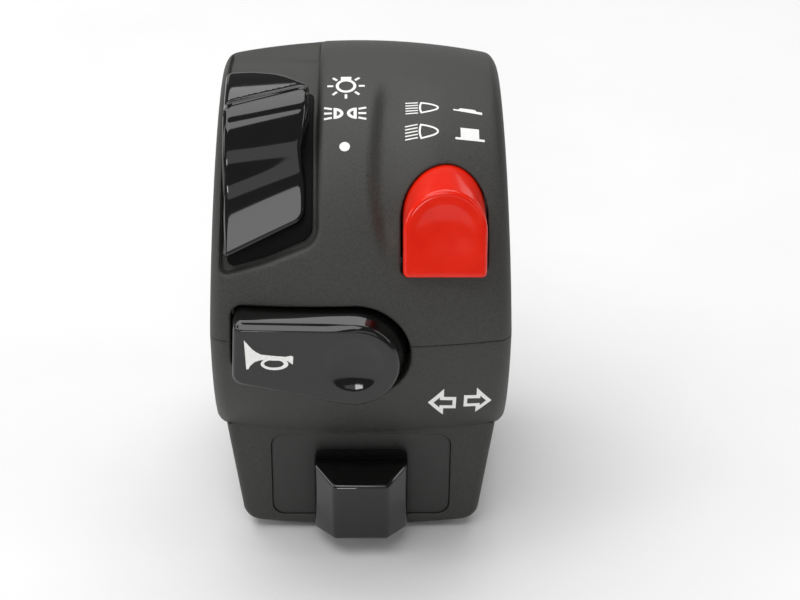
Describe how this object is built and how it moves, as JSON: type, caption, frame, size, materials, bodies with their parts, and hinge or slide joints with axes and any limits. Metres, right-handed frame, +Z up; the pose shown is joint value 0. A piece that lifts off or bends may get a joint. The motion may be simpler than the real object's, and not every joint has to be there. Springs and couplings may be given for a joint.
{
  "type": "handlebar switch cluster",
  "caption": "Black split housing that clamps on a motorbike handlebar, with a light lever, a red dip button, a horn button and a sliding turn signal knob.",
  "frame": {"origin": "on the handlebar axis, midway between the housing's two end faces", "axes": "+X along the handlebar to the rider's right, -Y towards the rider, +Z up"},
  "size_m": [0.0426, 0.053, 0.0684],
  "materials": {
    "housing_plastic": "fine-grained matte black",
    "panel_plastic": "smooth matte black",
    "gloss_black": "polished black",
    "gloss_red": "polished red",
    "natural_plastic": "natural acetal",
    "board_plastic": "brown laminate",
    "brass": "plain brass",
    "zinc_steel": "zinc plated",
    "spring_steel": "drawn spring steel",
    "grommet_rubber": "soft black"
  },
  "bodies": {
    "housing": {"upper_shell": "housing_plastic", "lower_shell": "housing_plastic", "turn_faceplate": "panel_plastic", "clamp_screws": "zinc_steel", "clamp_inserts": "brass", "cable_grommet": "grommet_rubber", "light_contact_board": "board_plastic", "light_terminals": "brass", "light_board_screws": "zinc_steel", "light_detent_spring": "spring_steel", "dip_switch_body": "natural_plastic", "dip_terminals": "brass", "dip_body_screws": "zinc_steel", "dip_spring": "spring_steel", "dip_latch_pin": "spring_steel", "horn_pivot_pin": "zinc_steel", "horn_contact_base": "board_plastic", "horn_fixed_contact": "brass", "horn_base_screws": "zinc_steel", "horn_spring": "spring_steel", "turn_contact_board": "board_plastic", "turn_terminals": "brass", "turn_board_screws": "zinc_steel", "turn_detent_spring": "spring_steel"},
    "light_lever": {"light_lever": "gloss_black", "light_carrier": "natural_plastic", "light_bridge": "brass"},
    "dip_button": {"dip_button": "gloss_red", "dip_plunger": "natural_plastic", "dip_bridge": "brass"},
    "horn_button": {"horn_button": "gloss_black", "horn_moving_contact": "brass"},
    "turn_slider": {"turn_knob": "gloss_black", "turn_carriage": "natural_plastic", "turn_bridge": "brass"}
  },
  "joints": [
    {"name": "light_lever_turn", "type": "hinge", "parent": "housing", "child": "light_lever", "pos_m": [0, 0, 0], "axis": [-1, 0, 0], "range_deg": [0, 20.6], "deforming": ["light_detent_spring"]},
    {"name": "dip_press", "type": "slide", "parent": "housing", "child": "dip_button", "axis": [0, 1, 0], "range_m": [0, 0.003], "stiffness_N_per_m": 400, "springref_m": -0.002, "deforming": ["dip_spring"]},
    {"name": "horn_press", "type": "hinge", "parent": "housing", "child": "horn_button", "pos_m": [-0.016, -0.0255, 0], "axis": [0, 0, 1], "range_deg": [0, 5], "stiffness_Nm_per_rad": 0.3, "springref_deg": -2.86, "deforming": ["horn_spring"]},
    {"name": "turn_slide", "type": "slide", "parent": "housing", "child": "turn_slider", "axis": [1, 0, 0], "range_m": [-0.004, 0.004], "deforming": ["turn_detent_spring"]}
  ]
}
